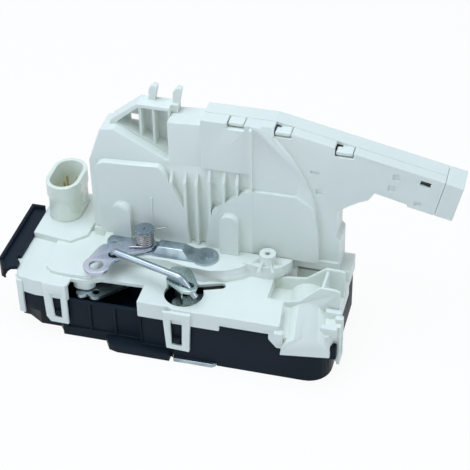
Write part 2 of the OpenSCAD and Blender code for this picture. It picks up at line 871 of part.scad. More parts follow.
module guide_shell(back) {
    difference() {
        union() {
            upright(17, back)
                polygon([[21.3, 98.03], [19.5, 98.3], [-9.7, 113.7], [-13.2, 113.2], [-13.2, 115.5],
                    [2.5, 128], [21.3, 128]]);
            for (x = [7.6, 21.3])
                upright(back - 4, back)
                    polygon([[x, 127], [x + 3.6, 127], [x + 4.6, 132.5], [x + 5.4, 136.8],
                        [x + 3, 137.4], [x + 0.6, 135]]);
            block(21.3, back - 6, 123.3, 25, back, 128);
        }
        upright(16, back - skin)
            polygon([[20.3, 99], [19.8, 99], [-9, 114.3], [-8.6, 115.6], [3.5, 125.8], [20.3, 125.8]]);
    }
}

module connector_shroud() {
    seat = raised_blocks[0][1] - skin;
    color("#d5dfcb")
        difference() {
            union() {
                socket_outline(0, rim_z + sheet_gap, socket_top);
                socket_outline(0.7, socket_top - 9, socket_top);
                intersection() {
                    socket_outline(0, carrier_z + carrier_t, rim_z + 1);
                    slab(inset(base_outline, set_back + wall + sheet_gap), 0, rim_z + 1);
                }
                intersection() {
                    socket_outline(1.8, seat - 2, seat);
                    slab(inset(raised_blocks[0][0], skin + sheet_gap), 0, seat);
                }
            }
            socket_outline(-socket_wall, seat + 4, socket_top + 1);
            for (i = [-2 : 1], j = [-1, 1])
                pin_blade(i, j, 10, 80, 0);
        }
}

pin_pitch = 5;
module pin_blade(i, j, z0, z1, grow) {
    w = 0.4 + grow;
    block(socket_at[0] + j * 3 - w, socket_at[1] + (i + 0.5) * pin_pitch - 2 * w, z0,
        socket_at[0] + j * 3 + w, socket_at[1] + (i + 0.5) * pin_pitch + 2 * w, z1);
}

module connector_pins() {
    color("#8f8458")
        for (i = [-2 : 1], j = [-1, 1])
            pin_blade(i, j, carrier_z + carrier_t, socket_top - 8, 0);
}

module circuit_carrier() {
    color("#c9bf8a")
        difference() {
            slab([[-50, 0], [-13, 0], [-13, 41.5], [-57, 41.5], [-57, 12], [-50, 12]], carrier_z,
                carrier_z + carrier_t);
            for (s = [[-40, 6], [-26, 20]])
                post(s, 2, carrier_z - 1, carrier_z + carrier_t + 1);
        }
}

module edge_channel() {
    color("#1d2127")
        difference() {
            union() {
                slab([[-69.4, -26], [-65, -33.2], [-63.4, -33.2], [-61.8, -29.8], [-58.2, -29], [-58.4, -24],
                    [-61, -22], [-61, -19.6], [-59.4, -19.4], [-59.4, 19], [-61.2, 24.4], [-69.4, 25]],
                    deck_z, deck_z + 2.2);
                block(-69.8, -26.2, 28, -67.9, 26, 42);
                block(-69.8, 24.2, deck_z, -61.4, 26, 42);
                slab([[-69.6, -26.1], [-65.2, -33.4], [-63.4, -33.4], [-67.9, -26.1]], 34, deck_z + 3.4);
            }
            block(-72, -20, 20, -60, 20, 31);
        }
}

// Tube swept along a path, with legs that lie flat or nearly so
module wire(path, r, sides) {
    n = len(path);
    points = [for (i = [0 : n - 1])
        let (t = unit(path[min(i + 1, n - 1)] - path[max(i - 1, 0)]),
            a = unit(cross(t, [0, 0, 1])), b = cross(t, a))
        for (k = [0 : sides - 1])
            path[i] + r * (cos(360 * k / sides) * a + sin(360 * k / sides) * b)];
    faces = concat(
        [[for (k = [0 : sides - 1]) k]],
        [for (i = [0 : n - 2], k = [0 : sides - 1])
            let (k2 = (k + 1) % sides)
            [i * sides + k, (i + 1) * sides + k, (i + 1) * sides + k2, i * sides + k2]],
        [[for (k = [sides - 1 : -1 : 0]) (n - 1) * sides + k]]);
    polyhedron(points, faces);
}

function coil(at, r, z0, pitch, from, turns, hand) = [for (i = [0 : 20 * turns])
    let (a = from + hand * 18 * i)
    [at[0] + r * cos(a), at[1] + r * sin(a), z0 + pitch * i / 20]];

module claw_pin() {
    color("#8e9499") {
        post(claw_at, claw_pin_r, 0, web_top);
        post(claw_at, claw_pin_r + 2, web_top, web_top + 1.5);
    }
}

module pawl_pin() {
    color("#8e9499") {
        post(pawl_at, pawl_pin_r, 0, web_top);
        post(pawl_at, pawl_pin_r + 1.8, web_top, web_top + 1.5);
    }
}

// Outline of the claw around its pivot, as it stands when the door is closed
module claw_plan(leg_grow, hub) {
    circle(r = hub);
    bar2d([-8, 11.4], [-26.6, 11.4], 4 + leg_grow);
    bar2d([-8, -5.9], [-31.5, -5.9], 2.5 + leg_grow);
}

module claw_slot() {
    bar2d([-slot_r, striker_y - claw_at[1]], [-slot_r - 30, striker_y - claw_at[1]], slot_half);
}

module claw_tooth(from, to) {
    r = claw_hub_r - 2;
    polygon(concat([r * [cos(from), sin(from)]],
        arc([0, 0], claw_tooth_r, from, to, 3), [r * [cos(to), sin(to)]]));
}

module claw_place() {
    translate([claw_at[0], claw_at[1], 0])
        rotate([0, 0, -claw_close])
            children();
}

module claw_core() {
    color("#8a9096")
        claw_place()
            translate([0, 0, lock_z])
                linear_extrude(lock_t)
                    difference() {
                        union() {
                            claw_plan(0, claw_hub_r);
                            claw_tooth(-116.5, -104.5);
                            claw_tooth(-92.5, -81.5);
                        }
                        claw_slot();
                        circle(r = claw_pin_r + run_fit);
                    }
}

module claw_jacket() {
    color("#2b2d30")
        difference() {
            claw_place()
                translate([0, 0, lock_z - jacket_t])
                    linear_extrude(lock_t + 2 * jacket_t)
                        difference() {
                            claw_plan(0.8, claw_hub_r - 1.5);
                            claw_slot();
                            circle(r = claw_pin_r + 1.5);
                        }
            claw_place()
                translate([0, 0, lock_z])
                    linear_extrude(lock_t) {
                        claw_plan(0, claw_hub_r);
                        claw_tooth(-116.5, -104.5);
                        claw_tooth(-92.5, -81.5);
                    }
        }
}

module claw_spring() {
    r = claw_pin_r + 2.6;
    z = lock_top + jacket_t + 0.7;
    turn = coil(claw_at, r, z, 1.1, 180, 2.25, 1);
    color("#a9afb4")
        wire(concat([[claw_at[0] - r, claw_at[1] + 11, z]], turn,
            [[claw_at[0] + 12, claw_at[1] - r, z + 2.5],
             [claw_at[0] + 24, claw_at[1] - r - 12, z + 2.5]]), 0.5, 6);
}

pawl_plan = [[-1, -5.8], [8, -8], [26, -9.8], [33, -8.6], [32.8, -1.4], [25, -0.2], [14, 3.4], [-1, 5.8]];
module pawl() {
    color("#93999e")
        translate([pawl_at[0], pawl_at[1], lock_z])
            linear_extrude(lock_t)
                difference() {
                    union() {
                        circle(r = 6);
                        polygon(pawl_plan);
                    }
                    circle(r = pawl_pin_r + run_fit);
                }
}

module pawl_jacket() {
    color("#2b2d30")
        translate([pawl_at[0], pawl_at[1], 0])
            union() {
                slab([[7, -6], [10, -7], [22, -8], [22, -1], [15, 1.5], [7, 2.4]], lock_top,
                    lock_top + 0.6);
                slab([[17, -6], [21, -6.5], [21, -1.5], [17, -0.5]], lock_top, web_z - 0.5);
            }
}

module pawl_spring() {
    r = pawl_pin_r + 1.6;
    z = lock_top + 0.8;
    color("#a9afb4")
        wire(concat([[pawl_at[0] - 4, pawl_at[1] - r, z], [pawl_at[0], pawl_at[1] - r, z]],
            coil(pawl_at, r, z, 1.15, -90, 2.5, 1),
            [[pawl_at[0] - 14, pawl_at[1] + r, z + 2.9]]), 0.5, 6);
}

module striker_bumper() {
    color("#2a2a2c")
        intersection() {
            post([0, mouth_end + mouth_half], mouth_half, 11, tunnel_top - 2);
            block(-5, 0, 10, 5, mouth_end + 3.5, 40);
        }
}

rivet_at = [[-8.6, -3.6], [46.6, -2]];
rivet_r = 1.8;
rivet_in = 5;
pin_in = 8;
bracket_left = [-6.2, -1];
bracket_right = [44.8, -3];
ridge_profile = [[6.1, -3], [1, 5.2], [-5.2, 4.9], [-10.4, -3]];

module ridge(t) {
    intersection() {
        translate([0, 0, seat_z])
            rotate([90, 0, 90])
                linear_extrude(60)
                    polygon(inset(ridge_profile, t));
        upright(-20, 20)
            polygon([[12.8 + t, seat_z - 4], [18.5 + t, seat_z + 6], [31 - t, seat_z + 6],
                [41 - 1.6 * t, seat_z - 4]]);
    }
}

module bridge_bracket() {
    color("#aeb6ba")
        difference() {
            union() {
                post(bracket_left, 7, seat_z, bracket_top);
                bar(bracket_left, pin_at, 5.8, seat_z, bracket_top);
                bar(pin_at, bracket_right, 5.6, seat_z, bracket_top);
                post(bracket_right, 7.5, seat_z, bracket_top);
                ridge(0);
            }
            ridge(bracket_t * 0.8);
            block(-30, -30, seat_z - 10, 70, 30, seat_z);
            block(-20, tab_y - 0.3, 40, 1, 20, 60);
            post(pin_at, pin_r, 40, 60);
            for (s = rivet_at)
                post(s, rivet_r, 40, 60);
        }
}

module bracket_rivets() {
    color("#9fa6aa") {
        for (s = rivet_at)
            post(s, rivet_r, seat_z - rivet_in, bracket_top);
        post(rivet_at[1], rivet_r + 0.8, bracket_top, bracket_top + 0.7);
    }
}

module lever_pin() {
    color("#b4bcc2")
        difference() {
            union() {
                post(pin_at, pin_r, seat_z - pin_in, pin_top - 1);
                post(pin_at, pin_head_r, pin_head_z, pin_top - 0.3);
                post(pin_at, pin_head_r - 0.4, pin_head_z, pin_top);
            }
            post(pin_at, 0.7, pin_top - 0.8, pin_top + 1);
        }
}

lever_bend = [-8.2, -14.2];
module outer_lever() {
    color("#c2c5d6")
        difference() {
            union() {
                bar(pin_at, lever_bend, 6, lever_z, lever_top);
                bar(lever_bend, lobe_at, lobe_r - 0.6, lever_z, lever_top);
                post(lobe_at, lobe_r, lever_z, lever_top);
                bar(lever_bend, rod_from, 4.4, lever_z, lever_top);
            }
            post(pin_at, pin_r + run_fit, 40, 60);
            post(lobe_at, cable_hole_r, 40, 60);
            post(rod_from, bush_r, 40, 60);
        }
}

bush_r = rod_r + 0.9;
module rod_bush() {
    color("#3a3f44")
        difference() {
            union() {
                post(rod_from, bush_r, lever_z - 0.9, lever_top);
                post(rod_from, bush_r + 0.9, lever_z - 0.9, lever_z);
            }
            post(rod_from, rod_r + run_fit, 40, 60);
        }
}

module link_rod() {
    top = [rod_from[0], rod_from[1], rod_z];
    color("#c9ced3") {
        rod_between([rod_from[0], rod_from[1], lever_z - 1.4], top, rod_r);
        translate(top)
            sphere(r = rod_r + 0.04, $fn = 24);
        rod_between(top, rod_knee, rod_r);
        translate(rod_knee)
            sphere(r = rod_r + 0.04, $fn = 24);
        rod_between(rod_knee, rod_knee + rod_drop, rod_r);
    }
}

module lever_spring() {
    low = lever_top + spring_wire_r + 0.1;
    turns = 5.25;
    pitch = (pin_head_z - low - spring_wire_r - 0.2) / turns;
    high = low + pitch * turns;
    color("#b9b3b0")
        wire(concat([[pin_at[0] - 7.5, pin_at[1] - spring_r - 2, low]],
            coil(pin_at, spring_r, low, pitch, -90, turns, 1),
            [[pin_at[0] + spring_r + 0.4, pin_at[1] + 4, high], [pin_at[0] + 11.5, pin_at[1] + 7.4, high]]),
            spring_wire_r, 8);
}

rod_plan = unit(xy(rod_drop));
module release_lever() {
    color("#aab9b8")
        difference() {
            union() {
                post(release_at, 7, release_z, release_z + release_t);
                bar(release_at, [36, -26.5], 4.2, release_z, release_z + release_t);
                bar([34.3, -24.6], [37.7, -28.4], 1, release_z, ear_z + ear_t);
                slab([[29.6, -18], [31.6, -16.3], [39, -16.3], [41.4, -18], [48, -28.6], [48, -33.4],
                    [45, -36.4], [40.4, -36.3], [30.2, -29.4], [29.6, -28]], ear_z, ear_z + ear_t);
                block(29.6, -28, 39.5, 31, -19, ear_z + ear_t);
            }
            post(release_at, release_pin_r + run_fit, 20, 60);
            bar(rod_to - 1.7 * rod_plan, rod_to + 1.7 * rod_plan, rod_r + 0.6, 40, 60);
        }
}

module release_pin() {
    color("#8e9499") {
        post(release_at, release_pin_r, web_top + 2, release_z + release_t + 0.3);
        post(release_at, release_pin_r - 0.6, web_top + 2, release_z + release_t + 3);
    }
}

module release_pin_ring() {
    z = release_z + release_t + 0.4;
    color("#555a5f")
        difference() {
            post(release_at, release_pin_r + 1.6, z, z + 0.9);
            post(release_at, release_pin_r - 0.58, z - 1, z + 2);
            block(release_at[0], release_at[1] - 1, z - 1, release_at[0] + 9, release_at[1] + 1, z + 2);
        }
}

coupling_end = [-12, -28.9];
module coupling_lever() {
    color("#b7bfc3")
        difference() {
            union() {
                post(coupling_at, 6, coupling_z, coupling_z + coupling_t);
                bar(coupling_at, coupling_end, 4.8, coupling_z, coupling_z + coupling_t);
                bar([-7, -22], [-19.8, -30.8], 3, coupling_z, coupling_z + coupling_t);
            }
            post(coupling_at, release_pin_r + run_fit, 20, 60);
            post(coupling_end, 2, 20, 60);
        }
}

module coupling_pin() {
    color("#8e9499") {
        post(coupling_at, release_pin_r, web_top + 2, coupling_head_z);
        post(coupling_at, release_pin_r + 1.6, coupling_head_z, coupling_head_z + 1.5);
    }
}

worm_from = worm_reach - 5.5;
worm_to = worm_reach + 5.5;
module motor_can() {
    color("#a7adb2")
        motor_frame()
            difference() {
                translate([0, 0, motor_from])
                    cylinder(r = motor_r, h = motor_l - motor_cap_t);
                translate([0, 0, motor_from + 1])
                    cylinder(r = motor_r - 1, h = motor_l);
                translate([0, 0, motor_from - 1])
                    cylinder(r = shaft_r + run_fit, h = 5);
            }
}

module motor_cap() {
    color("#24272b")
        motor_frame()
            difference() {
                translate([0, 0, motor_from + motor_l - motor_cap_t])
                    cylinder(r = motor_r, h = motor_cap_t);
                translate([0, 0, motor_from + motor_l - 5])
                    cylinder(r = shaft_r + run_fit, h = 10);
            }
}

module motor_shaft() {
    color("#9aa0a5")
        motor_frame() {
            translate([0, 0, motor_from])
                cylinder(r = shaft_r, h = worm_to + 1.5 - motor_from);
            translate([0, 0, motor_from + 3])
                cylinder(r = motor_r - 2.5, h = motor_l - 8);
        }
}

module worm() {
    core = worm_r - 0.65;
    color("#d8d2b8")
        motor_frame()
            difference() {
                union() {
                    translate([0, 0, worm_from])
                        cylinder(r = core, h = worm_to - worm_from);
                    wire(coil([0, 0], worm_r - 0.2, worm_reach - 1.5 * tooth_pitch, tooth_pitch, 0, 3, 1),
                        0.55, 6);
                }
                translate([0, 0, worm_from - 1])
                    cylinder(r = shaft_r, h = worm_to - worm_from + 2);
            }
}

// Outline of a gear whose first tooth points along the start angle
function gear(n, root, tip, root_w, tip_w, start) = [for (i = [0 : n - 1])
    let (a = start + 360 * i / n, b = asin(root_w / root), c = asin(tip_w / tip))
    for (q = [[root, -b], [tip, -c], [tip, c], [root, b]])
        q[0] * [cos(a + q[1]), sin(a + q[1])]];

module worm_wheel() {
    add = 0.4 * wheel_module;
    color("#e8e4d4")
        translate([wheel_at[0], wheel_at[1], 0])
            difference() {
                union() {
                    translate([0, 0, wheel_z])
                        linear_extrude(wheel_t)
                            polygon(gear(wheel_teeth, wheel_r - 1.2, wheel_r + add, 0.8, 0.45,
                                motor_yaw + 180 / wheel_teeth));
                    translate([0, 0, slider_z])
                        linear_extrude(wheel_z - slider_z + eps)
                            polygon(gear(pinion_teeth, pinion_r - 1.1, pinion_r + 0.8, 0.95, 0.4, 90));
                    translate([0, 0, wheel_z])
                        cylinder(r = 5, h = wheel_t + 1.5);
                }
                translate([0, 0, slider_z - 1])
                    cylinder(r = axle_r + run_fit, h = 20);
            }
}

module wheel_axle() {
    color("#8e9499")
        post(xy(wheel_at), axle_r, floor_t + 1, wheel_z + wheel_t + 4);
}

slider_left = 40;
slider_right = 98;
module lock_slider() {
    rack_n = 6;
    color("#6b5b3f")
        union() {
            block(slider_left, slider_y0, slider_z, slider_right, slider_y1, slider_z + slider_t);
            for (i = [-rack_n : rack_n])
                if (wheel_at[0] + (i + 0.5) * tooth_pitch < slider_right - 1)
                    slab([for (q = [[-0.85, 1.15], [-0.4, -0.8], [0.4, -0.8], [0.85, 1.15]])
                        [wheel_at[0] + (i + 0.5) * tooth_pitch + q[0], rack_y + q[1]]],
                        slider_z, slider_z + slider_t);
            block(slider_left, slider_y0, slider_z, slider_left + 5, slider_y1, slider_z + 7);
        }
}

module switch_body(x, y, turned) {
    translate([x, y, web_top])
        rotate([0, 0, turned])
            difference() {
                union() {
                    cube([12.8, 6, 6.5]);
                    translate([3, 2, 6.5])
                        cube([2.6, 2, 1]);
                }
                for (i = [3.2, 9.6])
                    translate([i, -1, 2])
                        rotate([-90, 0, 0])
                            cylinder(r = 0.9, h = 8, $fn = 24);
            }
}

module claw_switch() {
    color("#26292d")
        switch_body(-34, -24, 0);
}

module lock_switch() {
    color("#26292d")
        switch_body(34, slider_y1 + 2, 0);
}

module inner_lever() {
    color("#b7bfc3")
        upright(inner_y, inner_y + inner_t)
            difference() {
                union() {
                    circle_at(inner_at, 6);
                    bar2d(inner_at, inner_at + [11, -17], 4);
                    bar2d(inner_at, inner_at + [-9, 12], 3.6);
                }
                circle_at(inner_at, inner_pin_r + run_fit);
                circle_at(inner_at + [11, -17], 1.8);
                circle_at(inner_at + [-9, 12], 1.6);
            }
}

module circle_at(p, r) {
    translate(p)
        circle(r = r);
}

module inner_lever_pin() {
    color("#8e9499")
        upright(pad_y + skin, wing_back_y - skin / 2)
            circle_at(inner_at, inner_pin_r);
}

module inner_lever_spring() {
    r = inner_boss_r + 0.9;
    color("#a9afb4")
        translate([inner_at[0], split_y + 3.4, inner_at[1]])
            rotate([90, 0, 0])
                wire(concat([[r, -11, 0]], coil([0, 0], r, 0, 1.1, 0, 2.5, 1), [[-r, -12, 2.75]]), 0.45, 6);
}

module screw(at, seat, tip) {
    post(at, screw_head_r, seat - screw_head_t, seat);
    post(at, screw_r, seat, tip);
}

module base_screws() {
    color("#7d8388")
        for (s = base_screw_at)
            screw(s, screw_sink, ceiling_z - 1.5);
}

module plate_screws() {
    color("#7d8388")
        for (s = plate_screw_at)
            screw(s, screw_head_t, web_z - 1.5);
}

module wing_screws() {
    color("#7d8388") {
        for (x = [-6, 30, 60, 100])
            screw([x, wing_screw_y], seat_z - skin, wing_z + 7.5);
        for (x = [-12, 36])
            translate([x, wing_back_y, wing_z + 4.5])
                rotate([90, 0, 0]) {
                    cylinder(r = screw_head_r, h = screw_head_t);
                    cylinder(r = screw_r, h = wing_back_y - split_y + 4.5);
                }
    }
}

face_plate();
housing();
deck_cover();
wing_front();
wing_back();
arm_sleeve();
cable_guide();
connector_shroud();
connector_pins();
circuit_carrier();
edge_channel();
claw_pin();
pawl_pin();
claw_core();
claw_jacket();
claw_spring();
pawl();
pawl_jacket();
pawl_spring();
striker_bumper();
bridge_bracket();
bracket_rivets();
lever_pin();
outer_lever();
lever_spring();
link_rod();
rod_bush();
release_lever();
release_pin();
release_pin_ring();
coupling_lever();
coupling_pin();
motor_can();
motor_cap();
motor_shaft();
worm();
worm_wheel();
wheel_axle();
lock_slider();
claw_switch();
lock_switch();
inner_lever();
inner_lever_pin();
inner_lever_spring();
base_screws();
plate_screws();
wing_screws();
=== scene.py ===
import math
import bpy
import bmesh
from mathutils import Matrix, Quaternion, Vector


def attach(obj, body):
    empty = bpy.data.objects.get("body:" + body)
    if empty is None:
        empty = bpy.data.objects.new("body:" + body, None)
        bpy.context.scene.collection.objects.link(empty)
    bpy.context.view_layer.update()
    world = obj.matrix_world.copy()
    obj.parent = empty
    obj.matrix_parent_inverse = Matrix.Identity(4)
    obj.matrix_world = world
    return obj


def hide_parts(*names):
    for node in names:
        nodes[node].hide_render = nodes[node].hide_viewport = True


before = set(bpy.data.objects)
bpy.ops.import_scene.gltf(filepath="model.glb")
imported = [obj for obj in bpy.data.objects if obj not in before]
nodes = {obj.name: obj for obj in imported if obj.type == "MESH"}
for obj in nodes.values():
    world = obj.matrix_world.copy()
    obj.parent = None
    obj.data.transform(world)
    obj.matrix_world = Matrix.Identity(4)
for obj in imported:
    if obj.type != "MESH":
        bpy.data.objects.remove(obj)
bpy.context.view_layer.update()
mm = 0.001
unstretched = (1, 1, 1)


def startFinish(name):
    finish = bpy.data.materials.new(name)
    finish.use_nodes = True
    tree = finish.node_tree
    shader = tree.nodes["Principled BSDF"]
    place = tree.nodes.new("ShaderNodeTexCoord")
    return finish, tree, shader, place.outputs["Object"]


def patternNoise(tree, coords, scale, detail, stretch=unstretched):
    mapping = tree.nodes.new("ShaderNodeMapping")
    mapping.inputs["Scale"].default_value = stretch
    noise = tree.nodes.new("ShaderNodeTexNoise")
    noise.inputs["Scale"].default_value = scale
    noise.inputs["Detail"].default_value = detail
    tree.links.new(coords, mapping.inputs["Vector"])
    tree.links.new(mapping.outputs["Vector"], noise.inputs["Vector"])
    return noise.outputs["Fac"]


def toneRamp(tree, value, stops):
    ramp = tree.nodes.new("ShaderNodeValToRGB")
    band = ramp.color_ramp
    while len(band.elements) < len(stops):
        band.elements.new(0.5)
    for element, (position, colour) in zip(band.elements, stops):
        element.position = position
        element.color = (*colour, 1)
    tree.links.new(value, ramp.inputs["Fac"])
    return ramp.outputs["Color"]


noiseRange = (0.3, 0.7)  # where nearly all of the noise lies


def spanned(tree, value, low, high):
    span = tree.nodes.new("ShaderNodeMapRange")
    span.inputs["From Min"].default_value, span.inputs["From Max"].default_value = noiseRange
    span.inputs["To Min"].default_value = low
    span.inputs["To Max"].default_value = high
    tree.links.new(value, span.inputs["Value"])
    return span.outputs["Result"]


def bumped(tree, shader, value, strength, depth):
    bump = tree.nodes.new("ShaderNodeBump")
    bump.inputs["Strength"].default_value = strength
    bump.inputs["Distance"].default_value = depth
    tree.links.new(value, bump.inputs["Height"])
    tree.links.new(bump.outputs["Normal"], shader.inputs["Normal"])


plasticBody = {"flowDetail": 3.0, "grainDetail": 5.0, "glowTint": (1.0, 0.85, 0.6), "glowDepth": 1.5,
               "coatRoughness": 0.2}
metalBody = {"cloudDetail": 2.0, "brushDetail": 6.0}


def plasticFinish(look):
    finish, tree, shader, coords = startFinish(look["name"])
    flow = patternNoise(tree, coords, look["flowScale"], plasticBody["flowDetail"])
    grain = patternNoise(tree, coords, look["grainScale"], plasticBody["grainDetail"])
    tree.links.new(toneRamp(tree, flow, look["tones"]), shader.inputs["Base Color"])
    tree.links.new(spanned(tree, flow, *look["roughness"]), shader.inputs["Roughness"])
    bumped(tree, shader, grain, look["bump"], look["depth"] * mm)
    shader.inputs["Specular IOR Level"].default_value = look["gloss"]
    shader.inputs["Subsurface Weight"].default_value = look.get("glow", 0)
    shader.inputs["Subsurface Radius"].default_value = plasticBody["glowTint"]
    shader.inputs["Subsurface Scale"].default_value = plasticBody["glowDepth"] * mm
    shader.inputs["Coat Weight"].default_value = look.get("coat", 0)
    shader.inputs["Coat Roughness"].default_value = plasticBody["coatRoughness"]
    return finish


def metalFinish(look):
    finish, tree, shader, coords = startFinish(look["name"])
    cloud = patternNoise(tree, coords, look["cloudScale"], metalBody["cloudDetail"])
    brush = patternNoise(tree, coords, look["brushScale"], metalBody["brushDetail"], look["brush"])
    tree.links.new(toneRamp(tree, cloud, look["tones"]), shader.inputs["Base Color"])
    tree.links.new(spanned(tree, brush, *look["roughness"]), shader.inputs["Roughness"])
    bumped(tree, shader, brush, look["bump"], look["depth"] * mm)
    shader.inputs["Metallic"].default_value = 1.0
    return finish


whiteLook = {"name": "whiteMoulding", "flowScale": 22.0, "grainScale": 900.0, "bump": 0.12, "depth": 0.05,
             "tones": [(0.30, (0.760, 0.800, 0.735)), (0.55, (0.786, 0.820, 0.752)),
                       (0.75, (0.802, 0.828, 0.744))],
             "roughness": (0.34, 0.46), "gloss": 0.5, "glow": 0.12}
blackLook = {"name": "blackMoulding", "flowScale": 30.0, "grainScale": 1400.0, "bump": 0.25, "depth": 0.06,
             "tones": [(0.30, (0.007, 0.013, 0.020)), (0.60, (0.010, 0.017, 0.026)),
                       (0.80, (0.013, 0.018, 0.028))],
             "roughness": (0.40, 0.54), "gloss": 0.09}
naturalLook = {"name": "naturalMoulding", "flowScale": 40.0, "grainScale": 900.0, "bump": 0.1, "depth": 0.04,
               "tones": [(0.30, (0.77, 0.81, 0.70)), (0.70, (0.83, 0.87, 0.79))],
               "roughness": (0.25, 0.36), "gloss": 0.5, "glow": 0.3, "coat": 0.2}
gearLook = {"name": "gearMoulding", "flowScale": 60.0, "grainScale": 1200.0, "bump": 0.15, "depth": 0.04,
            "tones": [(0.30, (0.60, 0.56, 0.44)), (0.70, (0.70, 0.67, 0.56))],
            "roughness": (0.35, 0.5), "gloss": 0.45}
softLook = {"name": "softBlack", "flowScale": 80.0, "grainScale": 2000.0, "bump": 0.4, "depth": 0.05,
            "tones": [(0.30, (0.012, 0.012, 0.013)), (0.70, (0.024, 0.024, 0.026))],
            "roughness": (0.6, 0.8), "gloss": 0.3}
zincLook = {"name": "zincSheet", "cloudScale": 75.0, "brushScale": 260.0, "brush": (1, 9, 1),
            "tones": [(0.38, (0.21, 0.27, 0.30)), (0.5, (0.33, 0.40, 0.44)), (0.62, (0.44, 0.52, 0.56))],
            "roughness": (0.24, 0.40), "bump": 0.08, "depth": 0.04}
leverLook = {"name": "passivatedSheet", "cloudScale": 70.0, "brushScale": 320.0, "brush": (9, 1, 1),
             "tones": [(0.25, (0.43, 0.46, 0.58)), (0.5, (0.48, 0.52, 0.62)), (0.75, (0.53, 0.57, 0.64))],
             "roughness": (0.24, 0.36), "bump": 0.03, "depth": 0.02}
greenLook = {"name": "greenishSheet", "cloudScale": 60.0, "brushScale": 300.0, "brush": (6, 1, 1),
             "tones": [(0.25, (0.27, 0.37, 0.37)), (0.5, (0.36, 0.45, 0.45)), (0.75, (0.43, 0.50, 0.47))],
             "roughness": (0.22, 0.38), "bump": 0.06, "depth": 0.04}
brightLook = {"name": "brightZinc", "cloudScale": 60.0, "brushScale": 90.0, "brush": (1, 1, 1),
              "tones": [(0.3, (0.26, 0.31, 0.36)), (0.7, (0.34, 0.40, 0.45))],
              "roughness": (0.20, 0.30), "bump": 0.02, "depth": 0.01}
wireLook = {"name": "springWire", "cloudScale": 150.0, "brushScale": 700.0, "brush": (1, 1, 1),
            "tones": [(0.3, (0.26, 0.27, 0.28)), (0.7, (0.40, 0.40, 0.39))],
            "roughness": (0.22, 0.38), "bump": 0.08, "depth": 0.03}
contactLook = {"name": "contactBrass", "cloudScale": 160.0, "brushScale": 600.0, "brush": (1, 1, 6),
               "tones": [(0.3, (0.50, 0.40, 0.18)), (0.7, (0.66, 0.56, 0.30))],
               "roughness": (0.2, 0.34), "bump": 0.05, "depth": 0.03}

white, black, natural, gear, soft = (
    plasticFinish(look) for look in (whiteLook, blackLook, naturalLook, gearLook, softLook))
zinc, passivated, greenish, bright, wire, brass = (
    metalFinish(look) for look in (zincLook, leverLook, greenLook, brightLook, wireLook, contactLook))

finishOf = {
    "face_plate": zinc, "housing": black, "deck_cover": white, "wing_front": white, "wing_back": white,
    "arm_sleeve": white, "cable_guide": white, "connector_shroud": natural, "connector_pins": brass,
    "circuit_carrier": natural, "edge_channel": black, "claw_pin": bright, "pawl_pin": bright,
    "claw_core": zinc, "claw_jacket": soft, "claw_spring": wire, "pawl": zinc, "pawl_jacket": soft,
    "pawl_spring": wire, "striker_bumper": soft, "bridge_bracket": zinc, "bracket_rivets": bright,
    "lever_pin": bright, "outer_lever": passivated, "lever_spring": wire, "link_rod": bright,
    "rod_bush": black, "release_lever": greenish, "release_pin": bright, "release_pin_ring": wire,
    "coupling_lever": zinc, "coupling_pin": bright, "motor_can": zinc, "motor_cap": black,
    "motor_shaft": bright, "worm": brass, "worm_wheel": gear, "wheel_axle": bright, "lock_slider": gear,
    "claw_switch": black, "lock_switch": black, "inner_lever": zinc, "inner_lever_pin": bright,
    "inner_lever_spring": wire, "base_screws": bright, "plate_screws": bright, "wing_screws": bright}
for nodeName, node in nodes.items():
    node.data.materials.clear()
    node.data.materials.append(finishOf[nodeName])
print("finishes are on", len(nodes), "CAD nodes")


def soleSelection(piece):
    bpy.ops.object.select_all(action="DESELECT")
    piece.select_set(True)
    bpy.context.view_layer.objects.active = piece


bevelRules = {"flatFold": 0.02, "mergeGap": 0.04, "flatAngle": 0.5, "cornerRoom": 2.2, "faceRoom": 2.3,
              "chainTurn": -0.7, "probes": (0.1, 0.5, 0.9), "smooth": 20,
              "level": 1e-9, "touching": 1e-7, "leastTurn": 1e-6}


def clearBeside(face, edge, reach, folds):
    start, end = (corner.co for corner in edge.verts)
    loop = next(k for k in face.loops if k.edge is edge)
    along = (loop.link_loop_next.vert.co - loop.vert.co).normalized()
    inward = face.normal.cross(along)
    for share in bevelRules["probes"]:
        spot = start.lerp(end, share)
        for other in face.edges:
            if other is edge or abs(folds.get(other, 0)) < bevelRules["flatFold"]:
                continue
            first, second = (corner.co - spot for corner in other.verts)
            a, b = first.dot(along), second.dot(along)
            if a * b > 0 or abs(a - b) < bevelRules["level"]:
                continue
            away = first.lerp(second, a / (a - b)).dot(inward)
            if bevelRules["touching"] < away < reach:
                return False
    return True


def roomyEdges(mesh, width, fromAngle):
    shape = bmesh.new()
    shape.from_mesh(mesh)
    folds = {e: e.calc_face_angle_signed(0) for e in shape.edges if len(e.link_faces) == 2}
    convex = {e for e in shape.edges if folds.get(e, 0) > math.radians(fromAngle)}
    roomy = set()
    follows = {e: [] for e in convex}
    for edge in convex:
        fits = True
        for corner in edge.verts:
            mine = (edge.other_vert(corner).co - corner.co).normalized()
            for other in corner.link_edges:
                if other is edge:
                    continue
                turn = mine.dot((other.other_vert(corner).co - corner.co).normalized())
                need = bevelRules["cornerRoom"] * width
                if other in convex:
                    need *= math.sqrt(max(0, 1 + turn) / max(bevelRules["leastTurn"], 1 - turn))
                    if turn < bevelRules["chainTurn"]:
                        follows[edge].append(other)
                if abs(folds.get(other, 0)) > bevelRules["flatFold"] and other.calc_length() < need:
                    fits = False
        reach = bevelRules["faceRoom"] * width
        if fits and all(clearBeside(face, edge, reach, folds) for face in edge.link_faces):
            roomy.add(edge)
    while True:
        loose = {e for e in roomy if any(other not in roomy for other in follows[e])}
        if not loose:
            break
        roomy -= loose
    chosen = [e.index for e in roomy]
    shape.free()
    return chosen


